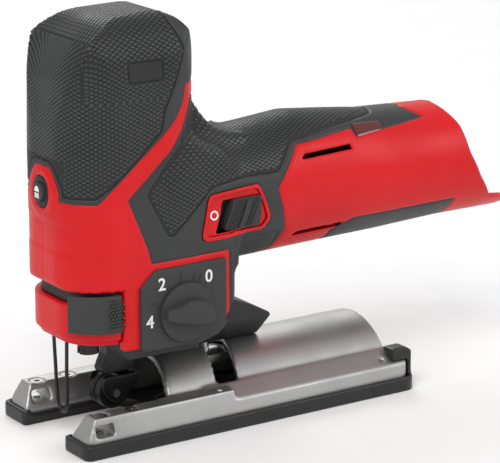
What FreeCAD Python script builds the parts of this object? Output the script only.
import FreeCAD, Part
import math
import os
from FreeCAD import Placement, Rotation, Vector

# Barrel-grip cordless jigsaw, millimetres.
# X runs from the cutting edge of the shoe to the battery end, -Y is the tool's left side
# (the one with the orbit dial) and +Z is up from the underside of the sole. The pieces are drawn
# from the front edge of the sole, and written out with the origin under the middle of the tool.

doc = FreeCAD.newDocument("jigsaw")
sheet = doc.addObject("Spreadsheet::Sheet", "sizes")

# Driving dimensions: each row is a cell alias and its value.
SIZES = [
    # shoe
    ("shoe_length", 174.0), ("shoe_half_width", 37.5), ("slot_half_width", 17.4),
    ("slot_length", 52.0), ("cover_wall", 2.2), ("cover_height", 6.8), ("cover_floor", 2.0),
    ("rail_foot_inner", 19.8), ("rail_foot_outer", 35.1), ("rail_top_inner", 24.3),
    ("rail_top_outer", 32.4), ("rail_high", 16.5), ("rail_low", 12.4),
    ("ramp_front", 58.0), ("ramp_rear", 78.0), ("saddle_radius", 29.5), ("saddle_wall", 3.0),
    ("saddle_front", 49.0), ("guide_slot_front", 7.0), ("guide_slot_width", 9.0),
    ("guide_slot_low", 8.4), ("guide_slot_height", 5.0), ("shoe_screw_y", 27.6),
    ("clamp_slot_front", 75.0), ("clamp_slot_width", 10.8), ("clamp_slot_angle", 57.0),
    # housing
    ("head_front", 2.0), ("head_rear", 67.0), ("head_top", 181.0), ("head_half_width", 29.0),
    ("head_corner", 22.0), ("body_low", 69.0), ("barrel_centre", 98.2), ("grip_thick", 2.0),
    ("wall", 4.6), ("lower_rear", 78.0), ("lower_low", 44.0),
    ("bay_front", 168.0), ("bay_radius", 21.5), ("bay_centre", 97.5),
    # drive
    ("blade_x", 23.0), ("motor_z", 98.0), ("gear_centre", 25.0), ("gear_module", 1.0),
    ("gear_teeth", 41), ("pinion_teeth", 9), ("gear_front", 33.0), ("gear_width", 6.0),
    ("stroke", 19.0), ("rod_radius", 4.0), ("crank_pin_radius", 3.0), ("slip", 0.05),
    ("motor_radius", 20.0), ("motor_front", 52.0), ("motor_rear", 98.0),
    # controls
    ("dial_x", 54.0), ("dial_z", 56.0), ("dial_radius", 13.0), ("plate_face", 30.4),
    ("roller_x", 33.0), ("roller_z", 16.0), ("roller_radius", 7.5), ("fork_pivot_x", 41.0),
    ("fork_pivot_z", 43.0), ("switch_x", 83.0), ("switch_z", 94.0), ("switch_travel", 5.0),
    ("gap", 0.3), ("wire_radius", 0.8), ("button_z", 110.0), ("lever_x", 22.8), ("lever_y", -25.2),
    ("plate_bottom", 66.0), ("plate_back", 41.0), ("frame_shift", 121.0), ("peg_radius", 1.15),
]
for row, (alias, value) in enumerate(SIZES, start=1):
    sheet.set("A%d" % row, alias)
    sheet.set("B%d" % row, str(value))
    sheet.setAlias("B%d" % row, alias)
doc.recompute()


def size(alias):
    return float(getattr(sheet, alias))


exported = []


def bind(obj, **expressions):
    """Bind properties of an object to the size sheet; plain numbers are set as they are."""
    for prop, value in expressions.items():
        if isinstance(value, str):
            obj.setExpression(prop, with_sheet(value))
        else:
            setattr(obj, prop, value)
    return obj


def with_sheet(text):
    """Write an expression over aliases as one over the sheet's cells."""
    out = []
    word = ""
    for ch in text + " ":
        if ch.isalnum() or ch == "_":
            word += ch
            continue
        if word and not word[0].isdigit() and any(word == a for a, _ in SIZES):
            out.append("sizes." + word)
        else:
            out.append(word)
        word = ""
        out.append(ch)
    return "".join(out).strip()


def node(obj, name):
    """Mark an object as one of the tool's pieces."""
    obj.Label = name
    exported.append((name, obj))
    return obj


def add(kind, name, **values):
    return bind(doc.addObject(kind, name), **values)


def at(obj, x=0.0, y=0.0, z=0.0, axis=None, angle=0.0):
    turn = Rotation(axis, angle) if axis else Rotation()
    obj.Placement = Placement(Vector(x, y, z), turn)
    return obj


def block(name, x0, x1, y0, y1, z0, z1):
    box = doc.addObject("Part::Box", name)
    box.Length, box.Width, box.Height = x1 - x0, y1 - y0, z1 - z0
    return at(box, x0, y0, z0)


AXES = {"x": (Vector(0, 1, 0), 90), "y": (Vector(1, 0, 0), -90), "z": (None, 0)}


def cylinder(name, axis, x, y, z, radius, length):
    """A cylinder from (x, y, z) along +axis; radius and length may be sheet expressions."""
    rod = add("Part::Cylinder", name, Radius=radius, Height=length)
    direction, angle = AXES[axis]
    return at(rod, x, y, z, direction, angle)


def cone(name, axis, x, y, z, radius1, radius2, length):
    part = add("Part::Cone", name, Radius1=radius1, Radius2=radius2, Height=length)
    direction, angle = AXES[axis]
    return at(part, x, y, z, direction, angle)


def fuse(name, parts):
    return add("Part::MultiFuse", name, Shapes=list(parts))


def common(name, parts):
    return add("Part::MultiCommon", name, Shapes=list(parts))


def cut(name, base, tools):
    tool = tools[0] if len(tools) == 1 else fuse(name + "_tools", tools)
    return add("Part::Cut", name, Base=base, Tool=tool)


def corner_points(points, radii):
    """Edges of a closed outline whose corners are rounded by the radii (0 keeps a corner)."""
    count = len(points)
    starts, ends, mids = [], [], []
    for i in range(count):
        here = Vector(*points[i], 0)
        to_prev = (Vector(*points[i - 1], 0) - here)
        to_next = (Vector(*points[(i + 1) % count], 0) - here)
        radius = radii[i]
        if radius == 0:
            starts.append(here)
            ends.append(here)
            mids.append(None)
            continue
        half = to_prev.getAngle(to_next) / 2
        reach = radius / math.tan(half)
        a = here + to_prev.normalize() * reach
        b = here + to_next.normalize() * reach
        centre = here + (to_prev + to_next).normalize() * (radius / math.sin(half))
        starts.append(a)
        ends.append(b)
        mids.append(centre + (here - centre).normalize() * radius)
    edges = []
    for i in range(count):
        if mids[i] is not None:
            edges.append(Part.Arc(starts[i], mids[i], ends[i]))
        nxt = starts[(i + 1) % count]
        if (nxt - ends[i]).Length > 1e-6:
            edges.append(Part.LineSegment(ends[i], nxt))
    return edges


PLANES = {
    "XY": Rotation(),
    "XZ": Rotation(Vector(1, 0, 0), 90),
    "YZ": Rotation(Vector(1, 1, 1), 120),
}
ROLES = {"XY": "XY_Plane", "XZ": "XZ_Plane", "YZ": "YZ_Plane"}


def draw(sketch, outlines):
    for outline in outlines:
        if isinstance(outline, tuple) and outline[0] == "circle":
            _, cx, cy, radius = outline
            index = sketch.addGeometry(Part.Circle(Vector(cx, cy, 0), Vector(0, 0, 1), 1.0), False)
            constraint = index_of(sketch, index, radius)
            if isinstance(radius, str):
                sketch.setExpression("Constraints[%d]" % constraint, with_sheet(radius))
        else:
            points, radii = outline
            if not isinstance(radii, (list, tuple)):
                radii = [radii] * len(points)
            sketch.addGeometry(corner_points(points, radii), False)


def index_of(sketch, geometry, radius):
    import Sketcher
    value = 1.0 if isinstance(radius, str) else radius
    return sketch.addConstraint(Sketcher.Constraint("Radius", geometry, value))


def prism(name, plane, outlines, low, high):
    """Part extrusion of sketch outlines from low to high along the plane's normal axis."""
    sketch = doc.addObject("Sketcher::SketchObject", name + "_sketch")
    draw(sketch, outlines)
    shift = {"XY": Vector(0, 0, low), "XZ": Vector(0, low, 0), "YZ": Vector(low, 0, 0)}[plane]
    sketch.Placement = Placement(shift, PLANES[plane])
    solid = doc.addObject("Part::Extrusion", name)
    solid.Base = sketch
    solid.DirMode = "Custom"
    solid.Dir = {"XY": Vector(0, 0, 1), "XZ": Vector(0, 1, 0), "YZ": Vector(1, 0, 0)}[plane]
    solid.LengthFwd = high - low
    solid.Solid = True
    return solid


def body(name, plane, outlines, low, high):
    """PartDesign body with one padded sketch on an origin plane."""
    part = doc.addObject("PartDesign::Body", name)
    base = add_sketch(part, name + "_profile", plane, outlines, low)
    pad = part.newObject("PartDesign::Pad", name + "_pad")
    pad.Profile = base
    pad.Length = high - low
    pad.Reversed = plane == "XZ"
    doc.recompute()
    return part


def add_sketch(part, name, plane, outlines, level):
    sketch = part.newObject("Sketcher::SketchObject", name)
    origin = [f for f in part.Origin.OriginFeatures if f.Role == ROLES[plane]][0]
    sketch.AttachmentSupport = [(origin, "")]
    sketch.MapMode = "FlatFace"
    sign = -1 if plane == "XZ" else 1
    sketch.AttachmentOffset = Placement(Vector(0, 0, sign * level), Rotation())
    draw(sketch, outlines)
    return sketch


def pocket(part, name, plane, outlines, low, high):
    """Cut a padded outline between two levels out of a body, and check that it cut."""
    before = part.Shape.Volume
    sketch = add_sketch(part, name + "_profile", plane, outlines, low)
    feature = part.newObject("PartDesign::Pocket", name)
    feature.Profile = sketch
    feature.Length = high - low
    feature.Reversed = plane != "XZ"
    doc.recompute()
    if part.Shape.Volume >= before - 1e-3:
        raise RuntimeError("pocket %s removed nothing" % name)
    return feature


def rectangle(x0, x1, y0, y1, radius=0.0):
    return ([(x0, y0), (x1, y0), (x1, y1), (x0, y1)], radius)


def mirrored(points):
    return [(-x, y) for x, y in reversed(points)]


# ---------------------------------------------------------------- shoe
def make_sole_cover():
    length, half = size("shoe_length"), size("shoe_half_width")
    slot, end, wall = size("slot_half_width"), size("slot_length"), size("cover_wall")
    floor, height = size("cover_floor"), size("cover_height")
    outline = [(0, -half), (length, -half), (length, half), (0, half), (0, slot), (end, slot),
               (end, -slot), (0, -slot)]
    corners = [4, 6, 6, 4, 2, 8, 8, 2]
    cover = body("sole_cover", "XY", [(outline, corners)], 0, height)
    inner = [(wall, wall - half), (length - wall, wall - half), (length - wall, half - wall),
             (wall, half - wall), (wall, slot + wall), (end + wall, slot + wall),
             (end + wall, -slot - wall), (wall, -slot - wall)]
    pocket(cover, "cover_tray", "XY", [(inner, [2.5, 4, 4, 2.5, 0.4, 9, 9, 0.4])], floor, height)
    lowered = [(wall + 2, -slot - wall), (end + wall + 4, -slot - wall),
               (end + wall + 4, slot + wall), (wall + 2, slot + wall)]
    pocket(cover, "low_slot_wall", "XY", [(lowered, 0)], height - 2.4, height)
    pocket(cover, "bolt_window", "XY", [rectangle(66, 158, -16, 16, 3)], 0, floor)
    hook_low, hook_top = size("rail_low") + 0.3, size("rail_low") + 7.0
    strap = [(length - 2.2, height - 1), (length, height - 1), (length, hook_top - 2),
             (length - 3, hook_top), (length - 11, hook_top), (length - 11, hook_low + 1.5),
             (length - 9, hook_low), (length - 2.2, hook_low)]
    hooks = []
    for side in (-1, 1):
        y0, y1 = sorted((side * 25.0, side * 33.0))
        slope = [(19, -1), (36, -1), (36, 9), (34.0, 12.8), (24.5, 18.3), (19, 18.3)]
        if side < 0:
            slope = mirrored(slope)
        rail_room = prism("hook_room", "YZ", [(slope, 0)], length - 14, length - 2.2)
        hooks.append(cut("cover_hook", prism("hook_bar", "XZ", [(strap, 0)], y0, y1), [rail_room]))
    return node(fuse("sole_cover_whole", [cover] + hooks), "sole_cover")


def make_shoe_plate():
    length, wall, floor = size("shoe_length"), size("cover_wall"), size("cover_floor")
    front, rear = wall + 0.3, length - wall - 0.3
    high, low = size("rail_high"), size("rail_low")
    foot_in, foot_out = size("rail_foot_inner"), size("rail_foot_outer")
    top_in, top_out = size("rail_top_inner"), size("rail_top_outer")
    shoulder = size("cover_height")
    radius, shell = size("saddle_radius"), size("saddle_wall")
    rails = []
    for side in (-1, 1):
        front_rail = [(foot_in, floor), (foot_out, floor), (foot_out, shoulder), (top_out, high),
                      (top_in, high), (foot_in, shoulder)]
        rear_rail = [(foot_in, floor), (foot_out, floor), (foot_out, shoulder), (top_out + 1.2, low),
                     (top_in, high + 1.2), (foot_in, high - 2)]
        if side < 0:
            front_rail, rear_rail = mirrored(front_rail), mirrored(rear_rail)
        rails.append(prism("front_rail", "YZ", [(front_rail, 0)], front, size("ramp_rear")))
        rails.append(prism("rear_rail", "YZ", [(rear_rail, 0)], size("ramp_front"), rear))
    side_view = [(front, floor), (rear, floor), (rear, 20), (size("ramp_rear"), 20),
                 (size("ramp_front") + 6, high), (front + 4.6, high), (front, shoulder)]
    outer_side = prism("rail_side_view", "XZ", [(side_view, 0)], -40, 40)
    tunnel = cylinder("rail_tunnel", "x", size("saddle_front"), 0, 0,
                      "saddle_radius - saddle_wall", 130)
    plan = [(front, -foot_out), (rear, -foot_out), (rear, foot_out), (front, foot_out)]
    rail_plan = prism("rail_plan", "XY", [(plan, [3.0, 5.0, 5.0, 3.0])], 0, 30)
    rails_outer = common("rails_outer", [fuse("rail_stock", rails), outer_side, rail_plan])
    both_rails = cut("rails", rails_outer, [tunnel])
    hump = cylinder("hump_outer", "x", size("saddle_front"), 0, 0, "saddle_radius", 116)
    hump_core = cylinder("hump_inner", "x", 40, 0, 0, "saddle_radius - saddle_wall", 130)
    above_sole = [(49, floor), (48.8, 18), (54, 31), (165, 31), (166.5, 18), (166.5, floor)]
    hump_view = prism("hump_side_view", "XZ", [(above_sole, 0)], -radius, radius)
    arch = cut("arch", common("hump", [hump, hump_view]), [hump_core])
    reach_in = radius - shell + 1.2
    floor_plate = block("rear_floor", 118, rear, -reach_in, reach_in, floor, floor + 2.4)
    tail_wall = block("tail_wall", rear - 3, rear, -reach_in, reach_in, floor, low - 1)
    window = block("floor_window", 112, 158, -14, 14, 0, 10)
    reach = radius + 6
    swing = math.radians(size("clamp_slot_angle"))
    y_end = (radius - shell / 2) * math.sin(swing)
    lead, width = 6.2, size("clamp_slot_width")
    slot_x = size("clamp_slot_front")
    chevron = [(slot_x - 1, -y_end), (slot_x - 0.7 + width, -y_end), (slot_x + lead + width, 0),
               (slot_x - 0.7 + width, y_end), (slot_x - 1, y_end), (slot_x + lead - 0.8, 0)]
    clamp_slot = prism("clamp_slot", "XY", [(chevron, 1.0)], 10, reach)
    tools = [clamp_slot, window]
    x0 = size("guide_slot_front")
    z0 = size("guide_slot_low")
    for side in (-1, 1):
        y0, y1 = sorted((side * 15.0, side * 40.0))
        tools.append(block("guide_slot", x0, x0 + size("guide_slot_width"), y0, y1, z0,
                           z0 + size("guide_slot_height")))
        for x in (12.5, 28.0):
            y = side * size("shoe_screw_y")
            tools.append(cylinder("screw_hole", "z", x, y, 3, 1.6, 20))
            tools.append(cone("screw_sink", "z", x, y, high - 2.4, 1.6, 4.0, 2.5))
        for x, z in ((72.0, 9.0), (159.0, 9.0)):
            tools.append(cylinder("vent_hole", "z", x, side * 29.5, z, 1.2, 12))
    whole = fuse("shoe_stock", [both_rails, arch, floor_plate, tail_wall])
    return node(cut("shoe_casting", whole, tools), "shoe_plate")


def make_guide_screws():
    screws = []
    for side in (-1, 1):
        for x in (12.5, 28.0):
            y = side * size("shoe_screw_y")
            top = size("rail_high") - 0.5
            reach = 2.5 if x < 20 else 8.0
            shank = cylinder("guide_screw_shank", "z", x, y, top - reach, 1.5, reach - 1.7)
            head = cone("guide_screw_head", "z", x, y, top - 1.7, 1.5, 3.1, 1.7)
            socket = prism("guide_screw_socket", "XY",
                           [(hexagon(x, y, 1.2), 0)], top - 1.2, top + 1)
            screws.append(cut("guide_screw", fuse("guide_screw_blank", [shank, head]), [socket]))
    return node(add("Part::Compound", "guide_screw_group", Links=screws), "guide_screws")


def hexagon(cx, cy, flat):
    r = flat / math.cos(math.radians(30))
    return [(cx + r * math.cos(math.radians(60 * k)), cy + r * math.sin(math.radians(60 * k)))
            for k in range(6)]


# ---------------------------------------------------------------- housing
def head_solid(inset):
    """The upright head: where its side, plan and front views overlap."""
    front, rear, top = size("head_front") + inset, size("head_rear") - inset, size("head_top") - inset
    half, corner, low = size("head_half_width") - inset, size("head_corner") - inset, size("body_low")
    side = [(front, low), (front, 140), (front + 3.5, 162), (front + 7, top), (rear - 8, top),
            (rear + 1.5, 160), (rear, 150), (rear + 17, 130), (rear + 17, low)]
    side_view = prism("head_side", "XZ", [(side, [0, 0, 12, 9, 15, 5, 5, 0, 0])], -half, half)
    plan = [(front, -half), (rear + 18, -half), (rear + 18, half), (front, half)]
    plan_view = prism("head_plan", "XY", [(plan, [corner, 6, 6, corner])], low, top)
    end = [(-half, low), (half, low), (half, 150), (half - 2.5, top), (2.5 - half, top), (-half, 150)]
    end_view = prism("head_end", "YZ", [(end, [0, 0, 8, 15 - inset, 15 - inset, 8])], front, rear + 20)
    return common("head_solid", [side_view, plan_view, end_view])


BARREL = [(54.0, 28.0, 31.5, 98.5), (82.0, 27.5, 31.8, 98.6), (125.0, 25.6, 30.8, 98.5),
          (168.0, 25.5, 28.3, 97.0), (203.0, 26.0, 26.8, 97.0), (250.0, 26.2, 26.6, 96.8)]


def barrel_solid(inset):
    """The horizontal handle: a loft of ovals, cut off by the curved battery mouth."""
    sections = []
    for x, half, height, centre in BARREL:
        ring = doc.addObject("Sketcher::SketchObject", "barrel_section")
        middle = Vector(0, centre, 0)
        ring.addGeometry(Part.Ellipse(middle + Vector(0, height - inset, 0),
                                      middle + Vector(half - inset, 0, 0), middle), False)
        ring.Placement = Placement(Vector(x, 0, 0), PLANES["YZ"])
        sections.append(ring)
    loft = add("Part::Loft", "barrel_loft", Sections=sections, Solid=True, Ruled=False)
    mouth = [(50, 60), (225, 60), (236, 69.5), (243, 76.5), (227.5, 79.5), (224, 86), (219, 99),
             (212, 113), (203.5, 124.6), (203.5, 140), (50, 140)]
    view = prism("mouth_view", "XZ", [(mouth, [0, 3, 3, 0.6, 3, 20, 20, 20, 0, 0, 0])], -40, 40)
    return common("barrel_solid", [loft, view])


def lower_solid(inset):
    """The block that carries the dial plate, with a rounded throat behind it."""
    half = 28.5 - inset
    low, rear = size("lower_low") - 2.4, 84.5 - inset
    plan = [(24.7, -half), (rear, -half), (rear, half), (24.7, half)]
    block_up = prism("lower_plan", "XY", [(plan, [0, 9, 9, 0])], low, 96)
    side = [(24.7, low), (70, low), (rear, 58), (rear, 69), (rear + 9, 77), (rear + 9, 96), (24.7, 96)]
    view = prism("lower_side", "XZ", [(side, [0, 0, 3, 6, 0, 0, 0])], -30, 30)
    return common("lower_solid", [block_up, view])


def envelope(inset):
    return fuse("envelope", [head_solid(inset), barrel_solid(inset), lower_solid(inset)])


HEAD_GRIP = [(-5, 108), (12.6, 108), (20, 113.8), (32.6, 124.3), (43.7, 133.2), (50.8, 139.9),
             (55.4, 146.2), (58, 154), (80, 156), (80, 190), (-5, 190)]
HANDLE_GRIP = [(26.9, 108.4), (36.5, 85.7), (38.3, 79), (77.8, 79), (78.6, 40), (95, 40),
               (106.3, 66), (111.1, 81.3), (105.1, 101.8), (118.4, 118.5), (150.5, 121),
               (152, 117.4), (193, 120.4), (181, 128.5), (150, 140), (84, 149), (62, 148),
               (55.3, 135.7), (47.6, 126.5), (36, 116.3)]
SWITCH_FRAME = [(63.2, 84.4), (67.6, 104.6), (94.6, 105.6), (101.2, 89.5), (97.6, 84.4)]
GAUGE = [(152, 100), (152, 122.6), (168, 121.6), (169.5, 100)]
TAIL_PAD = [(138.9, 60), (138.9, 75.9), (149.3, 80.8), (206.3, 81.8), (204.5, 60)]
THROAT_LINE = 81.0


CASE_SCREWS = [(10.5, 84, 18), (14, 166, 18), (56, 168, 18), (104, 76, 10.5), (150, 74.5, 7.5),
               (150, 121, 7.5)]


def make_housing(fixtures, gear_case):
    outer = envelope(0.0)
    inner = envelope(size("grip_thick"))
    skin = cut("skin", outer, [inner])
    arch_top = size("button_z") + 11.4
    bezel_arch = [(-12.2, 96), (12.2, 96), (12.2, arch_top - 9), (7, arch_top), (-7, arch_top),
                  (-12.2, arch_top - 9)]
    bezel_cut = prism("bezel_cut", "YZ", [(bezel_arch, [0, 0, 6, 7, 7, 6])], -2, 20)
    head_region = prism("head_region", "XZ", [(HEAD_GRIP, 0)], -40, 40)
    head_grip = cut("head_rubber", common("head_skin", [skin, head_region]), [bezel_cut])
    node(head_grip, "head_grip")
    bosses, drills, screws = [], [], []
    for x, z, head_y in CASE_SCREWS:
        bosses.append(cylinder("boss", "y", x, -head_y, z, 3.6, 2 * head_y))
        drills.append(cylinder("boss_bore", "y", x, 3 - head_y, z, 1.4, 60))
        drills.append(cylinder("head_bore", "y", x, head_y, z, 3.1, 30))
        shank = cylinder("shank", "y", x, 4 - head_y, z, 1.35, 2 * head_y - 3.9)
        head = cylinder("screw_head", "y", x, head_y, z, 3.0, 2.2)
        socket = prism("star", "XZ", [(hexagon(x, z, 1.2), 0)], head_y + 1, head_y + 3)
        screws.append(cut("case_screw", fuse("case_screw_blank", [shank, head]), [socket]))
    holes = drills[:] + [gear_case]
    handle_region = prism("handle_region", "XZ", [(HANDLE_GRIP, 0)], -40, 40)
    frame_hole = prism("frame_hole", "XZ", [(SWITCH_FRAME, [3, 3, 3, 4, 3])], -40, 40)
    throat_zone = block("throat_zone", 79, 107, -40, 40, 40, THROAT_LINE)
    gauge_zone = prism("gauge_zone", "XZ", [(GAUGE, 0)], -40, 0)
    node(common("gauge_window", [skin, handle_region, gauge_zone]), "gauge_lens")
    node(cut("handle_rubber", common("handle_skin", [skin, handle_region]),
             [frame_hole, throat_zone, gauge_zone] + holes), "handle_grip")
    node(cut("throat_rubber", common("throat_skin", [skin, handle_region, throat_zone]), holes),
         "throat_pad")
    tail_region = prism("tail_region", "XZ", [(TAIL_PAD, 0)], -40, 40)
    node(cut("tail_rubber", common("tail_skin", [skin, tail_region]), drills[:]), "tail_pad")
    node(add("Part::Compound", "housing_screw_group", Links=screws), "housing_screws")
    cavity = envelope(size("wall"))
    mouth_room = cylinder("mouth_room", "x", size("bay_front"), 0, size("bay_centre"),
                          "bay_radius", 90)
    open_foot = block("open_foot", 24.7, 80, -23.4, 23.4, 30, 70)
    hollow = fuse("hollow", [cavity, open_foot, mouth_room])
    opening = [(70.8, 86.9), (75.2, 101.2), (94.9, 101.2), (95.1, 86.9)]
    side_view = prism("frame_view", "XZ", [(SWITCH_FRAME, [3, 3, 3, 4, 3]), (opening, 1.0)], -40, 40)
    node(common("switch_frame_pair", [skin, side_view]), "switch_frames")
    head_relief = cut("head_relief", head_region, [bezel_cut])
    relief = cut("relief", fuse("relief_stock", [head_relief, handle_region, tail_region]), [inner])
    shell = cut("red_shell", cut("red_outer", outer, [relief]), [hollow])
    bulkhead = block("bulkhead", 163, 166, -30, 30, 60, 140)
    floor_plate = block("head_floor", 4, 30.5, -28, 28, size("body_low"), size("body_low") + 2.4)
    for x in (54.0, 95.6):
        rib = cylinder("motor_rib", "x", x, 0, size("motor_z"), 30, 2.4)
        window = block("rib_window", x - 1, x + 4, -40, 40, 84, 112)
        bosses.append(cut("motor_saddle", rib, [window]))
    bosses += [bulkhead, floor_plate]
    drills += [cylinder("motor_bore", "x", 50, 0, size("motor_z"), "motor_radius", 50),
               cylinder("rod_bore", "z", size("blade_x"), 0, 60, 8, 15),
               cylinder("cam_drill", "y", size("dial_x"), -40, size("dial_z"), 4.3, 20),
               block("terminal_hole", 160, 170, -12, 12, 88, 107)]
    for x, z in PLATE_SCREWS:
        drills.append(cylinder("plate_drill", "y", x, -40, z, 1.2, 80))
    inner_bosses = common("inner_bosses", [fuse("boss_set", bosses), inner])
    openings = [
        prism("switch_opening", "XZ", [(opening, 1.0)], -40, 40),
        cylinder("button_opening", "x", -5, 0, size("button_z"), 4.6, 20),
        block("gauge_opening", 155, 165, -22, -8, 115, 122.5),
    ]
    for side in (-1, 1):
        y0, y1 = sorted((side * 18.0, side * 40.0))
        for z in (77.2, 114.6):
            slot = [(114, z - 1.1), (143, z - 0.7), (143, z + 0.9), (115, z + 0.9)]
            openings.append(prism("vent", "XZ", [(slot, 0)], y0, y1))
    body_shell = cut("drilled_shell", fuse("bossed_shell", [shell, inner_bosses]),
                     drills + openings + fixtures)
    for name, y0, y1 in (("housing_left", -45, 0), ("housing_right", 0, 45)):
        half = common(name + "_half", [body_shell, block(name + "_side", -10, 260, y0, y1, 0, 200)])
        node(half, name)


# ---------------------------------------------------------------- nose, gear case, plates
def nose_ring(name, grow, z0, z1, rear=24.3):
    outline = [(4 - grow, -27 - grow), (rear, -27 - grow), (rear, 27 + grow), (4 - grow, 27 + grow)]
    radius = 20.3 + grow if rear < 26 else 18
    return prism(name, "XY", [(outline, [min(radius, rear - 4 + grow - 0.2), 0, 0,
                                         min(radius, rear - 4 + grow - 0.2)])], z0, z1)


def make_nose():
    cap = fuse("nose_stock", [nose_ring("nose_wall", 0, 47.2, 62.8),
                              nose_ring("nose_lip", -1.8, 45, 47.2)])
    room = nose_ring("nose_room", -3.6, 47.4, 64)
    mouth = cylinder("nose_mouth", "z", size("blade_x"), 0, 40, 10, 12)
    back = block("nose_back", size("blade_x"), 30, -10, 10, 40, 50)
    px, py = size("lever_x"), size("lever_y")
    lug_room = block("lug_room", px - 3.5, px + 1.8, -30, -21.4, 52.6, 60.4)
    pin = cylinder("lever_pin_solid", "z", px, py, 50.5, 1.0, 12.0)
    node(pin, "lever_pin")
    wire = guard_wire()
    lamp = lamp_lens()
    node(cut("nose_shell", cap, [room, mouth, back, lug_room, pin, wire, lamp]), "nose_cap")
    ring = [(7, -24), (24.6, -24), (24.6, 24), (7, 24)]
    collar = body("neck_ring", "XY", [(ring, [17, 0, 0, 17])], 62.8, size("body_low"))
    inner = [(9.6, -21.4), (26, -21.4), (26, 21.4), (9.6, 21.4)]
    pocket(collar, "neck_room", "XY", [(inner, [14.6, 0, 0, 14.6])], 62.8, size("body_low"))
    node(collar, "neck_ring")


def lamp_lens():
    window = cone("lamp_cone", "z", 10.5, 12.5, 44.4, 2.0, 2.95, 1.6)
    barrel = cylinder("lamp_barrel", "z", 10.5, 12.5, 46, 2.95, 3)
    return node(fuse("lamp", [window, barrel]), "lamp_lens")


def guard_wire():
    """The wire hoop in front of the blade: a round rod swept along a U."""
    half = [(9.2, 5.8, 50), (9.3, 5.4, 40), (9.4, 4.8, 30), (9.5, 4.5, 22), (9.7, 4.1, 15.5),
            (9.8, 2.5, 11.6), (9.9, 0, 10.4)]
    points = [Vector(x, -y, z) for x, y, z in half] + [Vector(*p) for p in reversed(half[:-1])]
    curve = Part.BSplineCurve()
    curve.interpolate(points)
    path = Part.Wire([curve.toShape()])
    start = curve.tangent(curve.FirstParameter)[0]
    circle = Part.Wire([Part.makeCircle(size("wire_radius"), points[0], start)])
    wire = doc.addObject("Part::Feature", "wire_guard")
    wire.Shape = path.makePipeShell([circle], True, True, 2)
    return node(wire, "wire_guard")


def make_clamp_lever():
    px, py = size("lever_x"), size("lever_y")
    outer = nose_ring("lever_outer", 3.0, 51.4, 68.0, 23.6)
    inner = nose_ring("lever_inner", 0.4, 50, 70, 30)
    sector = prism("lever_sector", "XY", [([(24.5, -6.5), (-3, -20.2), (-3, -34), (24.5, -34)], 0)],
                   50, 70)
    shell = cut("lever_shell", common("lever_arc", [outer, sector]), [inner])
    lug = block("lever_lug", px - 2.4, px + 0.9, -28.5, py + 2.2, 53, 60)
    pin_hole = cylinder("lever_bore", "z", px, py, 50, "1 + slip", 20)
    edge_round = block("lever_edge", px + 0.1, 26, -31, -27, 50, 70)
    blank = fuse("lever_blank", [shell, lug])
    node(cut("lever_solid", blank, [pin_hole, edge_round]), "clamp_lever")


def make_gear_case():
    foot = prism("case_foot", "XZ", [([(25, 41.8), (27.3, 37.6), (63, 37.2), (63, 43.4),
                                       (25, 43.4)], 0)], -27.5, 27.5)
    core = fuse("case_core", [block("core_front", 24.3, 31, -23.4, 23.4, 43, 62.5),
                              block("core_rear", 30.8, 63, -23.4, 23.4, 43, size("plate_bottom"))])
    tail = prism("case_tail", "XZ", [([(60, 29), (108.5, 29), (108.5, 42), (98, 47.5),
                                       (86, 52.5), (60, 55)], [0, 0, 1.5, 4, 6, 0])], -14.5, 14.5)
    wedge = [(-3.6, 27), (3.6, 27), (3.6, 29.4), (14.5, 40.4), (14.5, 60), (-14.5, 60),
             (-14.5, 40.4), (-3.6, 29.4)]
    tail_end = prism("tail_wedge", "YZ", [(wedge, 0)], 60, 110)
    cradle = cylinder("cradle", "x", 55, 0, 0, "saddle_radius + gap", 60)
    well = cylinder("plunger_well", "z", size("blade_x") + 4, 0, 36, 11, 40)
    fork_room = block("fork_room", 24, 56, -8.4, 8.4, 36, 60)
    cam_bore = cylinder("cam_bore", "y", size("dial_x"), -30, size("dial_z"), "4 + slip", 40)
    bolt_bore = cylinder("bolt_bore", "z", 82.8, 0, 20, 1.95, 25)
    pivot_bore = cylinder("pivot_bore", "y", size("fork_pivot_x"), -16, size("fork_pivot_z"), 1.9, 32)
    plate_bores = [cylinder("plate_bore", "y", x, -30, z, 1.2, 60) for x, z in PLATE_SCREWS[1:3]]
    whole = fuse("case_stock", [foot, core, common("case_saddle", [tail, tail_end])])
    case = cut("case_solid", whole, [cradle, well, fork_room, cam_bore, bolt_bore, pivot_bore]
               + plate_bores)
    node(case, "gear_case")
    node(cylinder("fork_pivot_pin", "y", size("fork_pivot_x"), -14, size("fork_pivot_z"), 1.85, 28),
         "fork_pivot_pin")
    return case


PLATE_SCREWS = [(36.0, 72.5), (36.5, 46.0), (62.0, 44.5), (71.0, 72.5)]
PLATE = [(32, 41), (62.4, 40.4), (71, 42.7), (75.2, 46.4), (75.2, 76.4), (39.5, 76.4), (32, 69.5)]


def make_plates():
    face = size("plate_face")
    made = []
    for name, y0, y1 in (("dial_plate", -face, -27.6), ("side_cover", 27.6, face)):
        plate = body(name, "XZ", [(PLATE, [2, 4, 3, 3, 1, 1, 1])], y0, y1)
        if name == "dial_plate":
            pocket(plate, "cam_hole", "XZ",
                   [("circle", size("dial_x"), size("dial_z"), "4 + slip")], y0, y1)
            pegs = [cylinder("plate_peg", "y", x, -28.0, z, "peg_radius", 4.0)
                    for x, z in PLATE_SCREWS]
            plate = fuse("dial_plate_whole", [plate] + pegs)
        else:
            pocket(plate, "cover_holes", "XZ", [("circle", x, z, 1.3) for x, z in PLATE_SCREWS],
                   y0, y1)
        made.append(node(plate, name))
    return made


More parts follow.
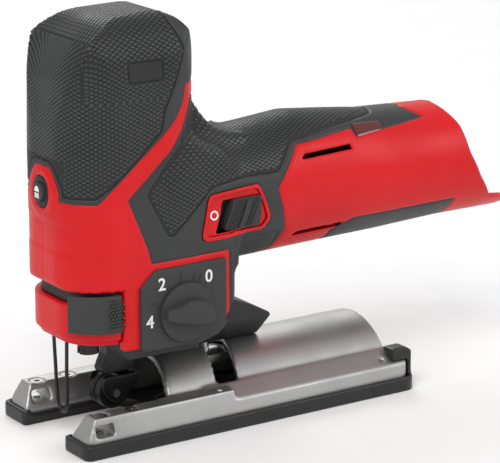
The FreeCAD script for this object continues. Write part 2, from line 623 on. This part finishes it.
def make_plate_screws():
    screws = []
    face = size("plate_face")
    for x, z in PLATE_SCREWS:
        shank = cylinder("plate_shank", "y", x, face - 6.0, z, 1.15, 6.0)
        head = cylinder("plate_head", "y", x, face, z, 2.3, 1.0)
        socket = prism("plate_star", "XZ", [(hexagon(x, z, 0.9), 0)], face + 0.3, face + 1.5)
        screws.append(cut("plate_screw", fuse("plate_screw_blank", [shank, head]), [socket]))
    node(add("Part::Compound", "plate_screw_group", Links=screws), "plate_screws")


def make_bevel_lock():
    bolt = [cylinder("bevel_shank", "z", 82.8, 0, 22.4, 1.9, 20),
            cylinder("bevel_head", "z", 82.8, 0, 18.4, 3.5, 4)]
    socket = prism("bevel_socket", "XY", [(hexagon(82.8, 0, 1.5), 0)], 18, 21)
    node(cut("bevel_bolt_solid", fuse("bevel_blank", bolt), [socket]), "bevel_bolt")
    radius = size("saddle_radius") - size("saddle_wall") - size("gap")
    pad = cylinder("clamp_pad_outer", "x", 72, 0, 0, radius, 22)
    pad_core = cylinder("clamp_pad_inner", "x", 70, 0, 0, radius - 3.4, 26)
    strip = prism("clamp_strip", "YZ", [([(-8, 20), (8, 20), (8, 30), (-8, 30)], 0)], 72, 94)
    hole = cylinder("clamp_pad_hole", "z", 82.8, 0, 10, 1.95, 25)
    node(cut("clamp_pad", common("clamp_strip_arc", [pad, strip]), [pad_core, hole]),
         "bevel_clamp_plate")


# ---------------------------------------------------------------- drive
def gear_outline(teeth, module, shift, backlash):
    """Involute gear outline, 20 degree teeth, as a closed list of points about the origin."""
    pressure = math.radians(20)
    pitch_r = module * teeth / 2
    base_r = pitch_r * math.cos(pressure)
    tip_r = pitch_r + module * (1 + shift)
    root_r = pitch_r - module * (1.25 - shift)
    thick = module * (math.pi / 2 + 2 * shift * math.tan(pressure)) - backlash
    half_at_base = thick / (2 * pitch_r) + math.tan(pressure) - pressure
    flank = []
    for k in range(6):
        r = max(base_r, root_r) + (tip_r - max(base_r, root_r)) * k / 5
        roll = math.sqrt(max((r / base_r) ** 2 - 1, 0))
        flank.append((r, half_at_base - (roll - math.atan(roll))))
    points = []
    for tooth in range(teeth):
        middle = 2 * math.pi * tooth / teeth
        side = [(root_r, flank[0][1])] if root_r < base_r else []
        side += flank
        for r, half in side:
            points.append((r * math.cos(middle - half), r * math.sin(middle - half)))
        for r, half in reversed(side):
            points.append((r * math.cos(middle + half), r * math.sin(middle + half)))
    return points


def gear_solid(name, teeth, shift, x, z, turn, width, bore):
    points = gear_outline(teeth, size("gear_module"), shift, 0.12)
    outline = []
    for a, b in points:
        y = a * math.cos(turn) - b * math.sin(turn)
        up = a * math.sin(turn) + b * math.cos(turn)
        outline.append(Vector(x, y, z + up))
    face = Part.Face(Part.makePolygon(outline + [outline[0]]))
    blank = doc.addObject("Part::Feature", name + "_blank")
    blank.Shape = face.extrude(Vector(width, 0, 0))
    hole = cylinder(name + "_bore", "x", x - 1, 0, z, bore, width + 2)
    return cut(name + "_solid", blank, [hole])


def make_drive():
    motor_z = size("motor_z")
    gear_z = motor_z + size("gear_centre")
    front, width = size("gear_front"), size("gear_width")
    teeth, small = int(size("gear_teeth")), int(size("pinion_teeth"))
    half_tooth = math.pi / small
    node(gear_solid("pinion", small, 0.4, front, motor_z, math.pi / 2 + half_tooth, width, 2.5),
         "motor_pinion")
    wheel = gear_solid("drive_gear", teeth, -0.4, front, gear_z, -math.pi / 2, width, "rod_radius")
    lightening = []
    for k in range(6):
        angle = math.radians(60 * k + 30)
        y, z = 13 * math.cos(angle), gear_z + 13 * math.sin(angle)
        lightening.append(cylinder("gear_window", "x", front - 1, y, z, 3.2, width + 2))
    pin_y = 9.5
    pin_hole = cylinder("pin_hole", "x", front - 1, pin_y, gear_z, "crank_pin_radius", width + 2)
    blank = cut("drive_gear_drilled", wheel, [lightening[1], lightening[4], pin_hole])
    node(blank, "drive_gear")
    node(cylinder("gear_shaft", "x", front - 1, 0, gear_z, "rod_radius", 17.0), "gear_shaft")
    node(cylinder("crank_pin", "x", front - 5.7, pin_y, gear_z, "crank_pin_radius", 11.7),
         "crank_pin")
    half_disc = prism("weight_view", "YZ", [([(-18, gear_z - 18), (-5.5, gear_z - 18),
                                              (-5.5, gear_z + 18), (-18, gear_z + 18)], 0)],
                      front - 4.5, front)
    disc = cylinder("weight_disc", "x", front - 4.5, 0, gear_z, 17.5, 4.5)
    node(common("weight", [half_disc, disc]), "balance_weight")
    back = size("plate_back")
    frame = [block("frame_plate", back, back + 6, -20, 20, size("plate_bottom"), 160)]
    for z0, z1 in ((78, 90), (152, 160)):
        frame.append(block("frame_arm", 16, back + 1, -8, 8, z0, z1))
    holes = [cylinder("rod_hole", "z", size("blade_x"), 0, 60, 5.5, 110),
             cylinder("motor_hole", "x", back - 1, 0, motor_z, 6.0, 10),
             cylinder("gear_hole", "x", back - 1, 0, gear_z, 8.0, 10)]
    for side in (-1, 1):
        holes.append(cylinder("frame_hole", "x", back - 1, side * 14, 145, 3.2, 10))
        holes.append(cylinder("frame_hole", "x", back - 1, side * 14, 84, 3.2, 10))
    node(cut("drive_frame_solid", fuse("drive_frame_stock", frame), holes), "drive_frame")
    node(ring_of("gear_ring", "x", back, 0, gear_z, "rod_radius + slip", 8.0, 6.0), "gear_bearing")
    bushes = []
    for z0, tall in ((78, 12), (152, 8)):
        bushes.append(ring_of("bush", "z", size("blade_x"), 0, z0, "rod_radius + slip", 5.5, tall))
    node(add("Part::Compound", "bush_group", Links=bushes), "plunger_bushings")


def ring_of(name, axis, x, y, z, inner, outer, length):
    step = {"x": (1, 0, 0), "y": (0, 1, 0), "z": (0, 0, 1)}[axis]
    hole = cylinder(name + "_hole", axis, x - step[0], y - step[1], z - step[2], inner, length + 2)
    return cut(name + "_ring", cylinder(name + "_disc", axis, x, y, z, outer, length), [hole])


def make_motor():
    z, front, rear = size("motor_z"), size("motor_front"), size("motor_rear")
    can = cylinder("can", "x", front, 0, z, "motor_radius", rear - front)
    room = cylinder("can_room", "x", front + 2.5, 0, z, "motor_radius - 1.6", rear - front - 5)
    ends = [cylinder("can_bore", "x", front - 1, 0, z, 6.5, rear - front + 2)]
    for k in range(6):
        angle = math.radians(60 * k)
        y, up = 13 * math.cos(angle), z + 13 * math.sin(angle)
        ends.append(cylinder("can_vent", "x", front - 1, y, up, 2.6, rear - front + 2))
    node(cut("motor_can", can, [room] + ends), "motor_case")
    node(ring_of("stator", "x", 60, 0, z, 12.8, 18.4, 26), "motor_stator")
    coils = [ring_of("coil", "x", x, 0, z, 13.0, 17.4, 3.8) for x in (56.2, 86.0)]
    node(add("Part::Compound", "coil_group", Links=coils), "stator_windings")
    bearings = [ring_of("bearing", "x", x, 0, z, "2.5 + slip", 6.5, 4.0)
                for x in (front - 0.5, rear - 3.5)]
    node(add("Part::Compound", "bearing_group", Links=bearings), "motor_bearings")
    node(ring_of("core", "x", 61, 0, z, 2.5, 12.4, 24), "rotor_core")
    node(cylinder("motor_shaft", "x", size("gear_front"), 0, z, 2.5, rear + 1 - size("gear_front")),
         "motor_shaft")
    hub = ring_of("fan_hub", "x", 87.0, 0, z, 2.5, 5.0, 4.5)
    plate = ring_of("fan_plate", "x", 87.0, 0, z, 2.5, 11.5, 1.2)
    blades = []
    for k in range(9):
        blade = add("Part::Box", "fan_blade", Length=4.0, Width=7.0, Height=0.9)
        turn = Rotation(Vector(1, 0, 0), 40 * k)
        blade.Placement = Placement(Vector(87.5, 0, z) + turn.multVec(Vector(0, 4.2, 0)), turn)
        blades.append(blade)
    node(fuse("fan", [hub, plate] + blades), "motor_fan")


def make_plunger():
    x = size("blade_x")
    gear_z = size("motor_z") + size("gear_centre")
    slots = [cylinder("yoke_end", "x", x - 0.5, y, gear_z, "crank_pin_radius + 0.15", 6)
             for y in (-9.5, 9.5)]
    slots.append(block("yoke_slot", x - 0.5, x + 5.5, -9.5, 9.5, gear_z - 3.15, gear_z + 3.15))
    slot = fuse("yoke_slot_whole", slots)
    rod = cylinder("rod", "z", x, 0, 55, "rod_radius", 110)
    node(cut("rod_solid", rod, [slot]), "plunger_rod")
    yoke = block("yoke_block", x - 5.6, x + 3.2, -16, 16, gear_z - 8, gear_z + 8)
    rod_hole = cylinder("yoke_bore", "z", x, 0, gear_z - 20, "rod_radius", 40)
    node(cut("yoke_solid", yoke, [slot, rod_hole]), "yoke")
    socket = cylinder("socket_rod", "z", x, 0, 36, 3.4, 19)
    blade_slot = block("blade_slot", x - 5, x + 3, -0.7, 0.7, 34, 47)
    node(cut("socket_solid", socket, [blade_slot]), "blade_socket")
    collar = ring_of("collar", "z", x, 0, 35, 3.4, 4.8, 14)
    node(cut("collar_solid", collar, [block("collar_slot", x - 6, x + 4.9, -0.7, 0.7, 34, 38)]),
         "blade_clamp_collar")
    coil = Part.makeHelix(1.4, 4.4, 4.0)
    coil.Placement = Placement(Vector(x, 0, 49.9), Rotation())
    start = Vector(x + 4.0, 0, 49.9)
    profile = Part.Wire([Part.makeCircle(0.45, start, Vector(0, 1, 0.05))])
    spring = doc.addObject("Part::Feature", "clamp_spring")
    spring.Shape = Part.Wire(coil.Edges).makePipeShell([profile], True, True)
    node(spring, "clamp_spring")


def make_blade_guide():
    px, pz = size("fork_pivot_x"), size("fork_pivot_z")
    rx, rz = size("roller_x"), size("roller_z")
    low_view = [(26.6, 23.6), (26.6, 17), (33, 10), (39, 13.4), (44.4, 21), (44.4, 23.6)]
    parts = []
    for y0, y1 in ((-6.4, -5.0), (5.0, 6.4)):
        parts.append(prism("fork_arm", "XZ", [(low_view, [2, 5, 6, 5, 2, 0])], y0, y1))
    tie = [(41.2, 17.2), (44.4, 21), (44.4, 23.6), (41.2, 23.6)]
    parts.append(prism("fork_tie", "XZ", [(tie, 0)], -6.4, 6.4))
    web = [(31, 46), (30.4, 33), (27.6, 26.6), (28.4, 24.4), (41.2, 24.4), (41.2, 18), (44.4, 21),
           (45.0, 34), (47, 46)]
    parts.append(prism("fork_web", "XZ", [(web, [2, 4, 1.5, 1, 1, 0.5, 0, 6, 2])], -3.6, 3.6))
    bores = [cylinder("pivot_hole", "y", px, -10, pz, "1.85 + slip", 20),
             cylinder("roller_pin_hole", "y", rx, -10, rz, 1.8, 20)]
    node(cut("fork_solid", fuse("fork_stock", parts), bores), "roller_fork")
    pin = cylinder("roller_pin_rod", "y", rx, -7.0, rz, 1.8, 14.0)
    node(pin, "roller_pin")
    wheel = cylinder("roller_wheel", "y", rx, -4.7, rz, "roller_radius", 9.4)
    groove = ring_of("roller_groove", "y", rx, -0.8, rz, 6.4, 9.0, 1.6)
    bore = cylinder("roller_bore", "y", rx, -6, rz, "1.8 + slip", 12)
    node(cut("roller_solid", wheel, [groove, bore]), "guide_roller")


# ---------------------------------------------------------------- controls and electronics
def make_orbit_knob():
    x, z, radius = size("dial_x"), size("dial_z"), size("dial_radius")
    face = size("plate_face")
    disc = cylinder("knob_disc", "y", x, -face - 2.0, z, "dial_radius", 1.7)
    rim = cone("knob_rim", "y", x, -face - 2.6, z, radius - 1.0, radius, 0.6)
    grip = add("Part::Box", "knob_grip", Length=2 * radius - 1.2, Width=3.6, Height=8.4)
    turn = Rotation(Vector(0, 1, 0), 15)
    shift = turn.multVec(Vector(0.6 - radius, 0, -4.2))
    grip.Placement = Placement(Vector(x, -face - 6.0, z) + shift, turn)
    node(fuse("knob_whole", [disc, rim, grip]), "orbit_knob")
    node(cylinder("cam_rod", "y", x, -face - 0.3, z, 4.0, 20), "orbit_cam_shaft")


def oval(name, half, height, centre, x0, x1):
    ring = doc.addObject("Sketcher::SketchObject", name + "_sketch")
    middle = Vector(0, centre, 0)
    ring.addGeometry(Part.Ellipse(middle + Vector(0, height, 0), middle + Vector(half, 0, 0), middle),
                     False)
    ring.Placement = Placement(Vector(x0, 0, 0), PLANES["YZ"])
    solid = doc.addObject("Part::Extrusion", name)
    solid.Base = ring
    solid.DirMode = "Custom"
    solid.Dir = Vector(1, 0, 0)
    solid.LengthFwd = x1 - x0
    solid.Solid = True
    return solid


SLIDER_TOP = [(76.3, 87.2), (80.5, 100.9), (94.6, 100.9), (94.8, 87.2)]


def make_switch():
    centre = 98.6
    band = cut("slide_band", oval("slide_outer", 28.1, 32.4, centre, 60, 110),
               [oval("slide_inner", 21.6, 25.9, centre, 60, 110)])
    base = cut("base_band", oval("base_outer", 21.9, 26.2, centre, 60, 110),
               [oval("base_inner", 20.5, 24.8, centre, 60, 110)])
    parts = {}
    for name, y0, y1 in (("switch_slider_left", -40, 0), ("switch_slider_right", 0, 40)):
        top = common(name + "_top", [band, prism(name + "_view", "XZ", [(SLIDER_TOP, 1.0)], y0, y1)])
        foot = common(name + "_foot", [base, block(name + "_zone", 75, 94, y0, y1, 85, 103)])
        parts[name] = node(fuse(name + "_solid", [top, foot]), name)
    node(common("switch_yoke", [base, block("link_zone", 80, 88, -40, 40, 60, 85)]), "switch_link")


def make_button():
    z = size("button_z")
    front = size("head_front")
    surround = [(-5.6, z - 7.0), (5.6, z - 7.0), (5.6, z + 7.0), (-5.6, z + 7.0)]
    bezel = prism("bezel_plate", "YZ", [(surround, 5.5)], front - 1.0, front + 1.0)
    hole = cylinder("bezel_hole", "x", front - 3, 0, z, 4.2, 12)
    bezel_node = node(cut("bezel_solid", bezel, [hole]), "button_bezel")
    stem = cylinder("button_stem", "x", front - 2.6, 0, z, 4.15, 9.0)
    flange = cylinder("button_flange", "x", front + 5.4, 0, z, 6.0, 1.4)
    node(fuse("button_whole", [stem, flange]), "light_button")
    return bezel_node


def make_electronics():
    node(block("terminal_core", 161, 170, -12, 12, 88, 107), "terminal_block")
    blades = [block("terminal_blade", 170, 178, y - 0.4, y + 0.4, 92, 103) for y in (-8, -3, 3, 8)]
    node(add("Part::Compound", "blade_group", Links=blades), "terminal_blades")
    board = block("board", 112, 163, -12, 12, 84, 85.6)
    extras = [cylinder("capacitor", "z", 152, 5, 85.6, 5.0, 14),
              block("heat_sink", 118, 138, -9, 9, 85.6, 93),
              block("plug", 142, 147, -10, 0, 85.6, 91)]
    node(fuse("board_whole", [board] + extras), "control_board")
    node(block("switch_box", 99, 112, -8, 8, 84, 100), "switch_module")
    gauge = block("gauge_base", 149, 163, -15, -1, 109.4, 111.0)
    lamps = [cylinder("gauge_lamp", "z", x, -12, 111, 1.2, 1.8) for x in (155.5, 158.5, 161.5)]
    node(fuse("gauge_board_whole", [gauge] + lamps), "gauge_board")


# ---------------------------------------------------------------- build, check, write
def build():
    make_sole_cover()
    make_shoe_plate()
    make_guide_screws()
    fixtures = make_plates()
    fixtures.append(make_gear_case())
    fixtures.append(make_button())
    make_housing(fixtures, fixtures[2])
    make_nose()
    make_clamp_lever()
    make_plate_screws()
    make_bevel_lock()
    make_drive()
    make_motor()
    make_plunger()
    make_blade_guide()
    make_orbit_knob()
    make_switch()
    make_electronics()
    doc.recompute()


def check():
    for obj in doc.Objects:
        for state in ("Invalid", "Error"):
            if state in obj.State:
                raise RuntimeError("%s is %s" % (obj.Name, state))
    for name, obj in exported:
        if obj.Shape.isNull():
            raise RuntimeError("%s has no shape" % name)
        if not obj.Shape.isValid() or not obj.Shape.Solids:
            raise RuntimeError("%s is not a valid solid" % name)


build()
check()
os.makedirs("parts", exist_ok=True)
for name, obj in exported:
    shape = obj.Shape.copy()
    shape.translate(Vector(-size("frame_shift"), 0, 0))
    shape.exportStep("parts/%s.step" % name)
